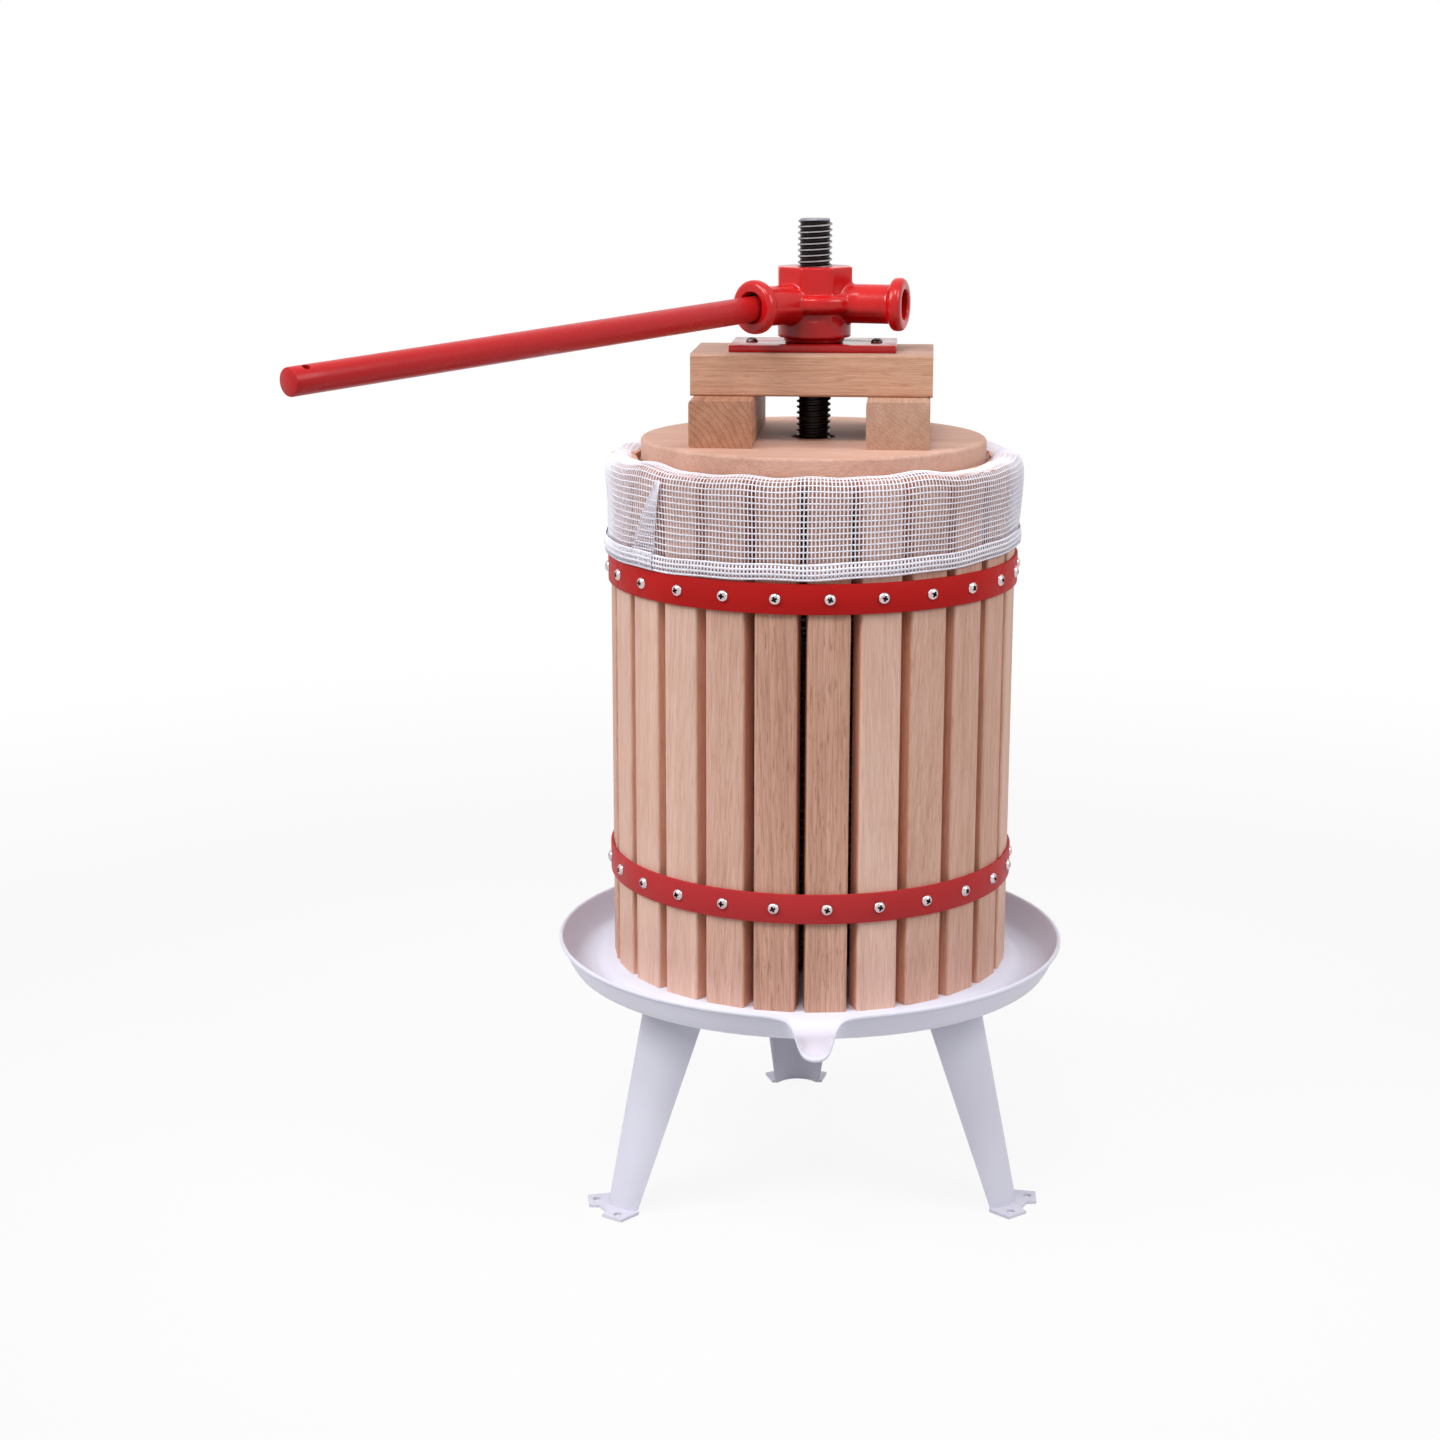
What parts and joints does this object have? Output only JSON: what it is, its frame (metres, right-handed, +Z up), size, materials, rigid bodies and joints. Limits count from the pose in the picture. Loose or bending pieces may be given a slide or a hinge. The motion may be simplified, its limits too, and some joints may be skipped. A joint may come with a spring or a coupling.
{
  "type": "basket fruit press",
  "caption": "Fruit press with a slatted wooden basket, net bag, pouring pan on legs, and a cast nut with a long bar that screws a wooden press stack down a fixed spindle.",
  "frame": {"origin": "on the spindle axis, at the level of the floor under the three feet", "axes": "+Z up along the spindle, -Y towards the pouring lip and the viewer, +X to the viewer's right"},
  "size_m": [0.4906, 0.5232, 0.697],
  "materials": {
    "pan_coat": "pale lilac-white powder coat, satin",
    "red_coat": "red powder coat, semi-gloss",
    "red_casting": "cast iron under glossy red enamel",
    "spindle_steel": "rolled thread, oiled dark steel with bright crests",
    "zinc": "zinc plated",
    "bright_steel": "bright nickel plated",
    "stave_wood": "bare sanded beech and oak, pinkish tan",
    "disc_wood": "bare sanded beech",
    "block_wood": "bare sanded beech, end grain to the front",
    "beam_wood": "bare sanded beech",
    "net_cloth": "open white net with a doubled hem"
  },
  "bodies": {
    "base": {"base_pan": "pan_coat", "leg_rear": "pan_coat", "leg_front_left": "pan_coat", "leg_front_right": "pan_coat", "leg_bolts": "zinc", "leg_nuts": "zinc", "spindle": "spindle_steel", "spindle_washer": "zinc", "spindle_lower_nut": "zinc", "spindle_upper_nut": "zinc", "stave_01": "stave_wood", "stave_02": "stave_wood", "stave_03": "stave_wood", "stave_04": "stave_wood", "stave_05": "stave_wood", "stave_06": "stave_wood", "stave_07": "stave_wood", "stave_08": "stave_wood", "stave_09": "stave_wood", "stave_10": "stave_wood", "stave_11": "stave_wood", "stave_12": "stave_wood", "stave_13": "stave_wood", "stave_14": "stave_wood", "stave_15": "stave_wood", "stave_16": "stave_wood", "stave_17": "stave_wood", "stave_18": "stave_wood", "stave_19": "stave_wood", "stave_20": "stave_wood", "stave_21": "stave_wood", "stave_22": "stave_wood", "stave_23": "stave_wood", "stave_24": "stave_wood", "stave_25": "stave_wood", "hoop_upper": "red_coat", "hoop_lower": "red_coat", "hoop_screws_upper": "bright_steel", "hoop_screws_lower": "bright_steel", "press_bag": "net_cloth"},
    "press_stack": {"press_disc": "disc_wood", "block_left": "block_wood", "block_right": "block_wood", "cross_beam": "beam_wood", "bearing_plate": "red_coat", "plate_screws": "bright_steel"},
    "head": {"press_nut": "red_casting"},
    "handle": {"handle_bar": "red_coat"}
  },
  "joints": [
    {"name": "press_travel", "type": "slide", "parent": "base", "child": "press_stack", "axis": [0, 0, 1], "range_m": [-0.08, 0.028]},
    {"name": "nut_turn", "type": "hinge", "parent": "press_stack", "child": "head", "pos_m": [0, 0, 0.6125], "axis": [0, 0, 1], "range_deg": [-7200, 2520]},
    {"name": "handle_slide", "type": "slide", "parent": "head", "child": "handle", "axis": [-0.6682, -0.7421, -0.0541], "range_m": [0, 0.035]}
  ],
  "couplings": [
    {"joint": "press_travel", "follows": "nut_turn", "m_per_rad": 0.00063662}
  ]
}
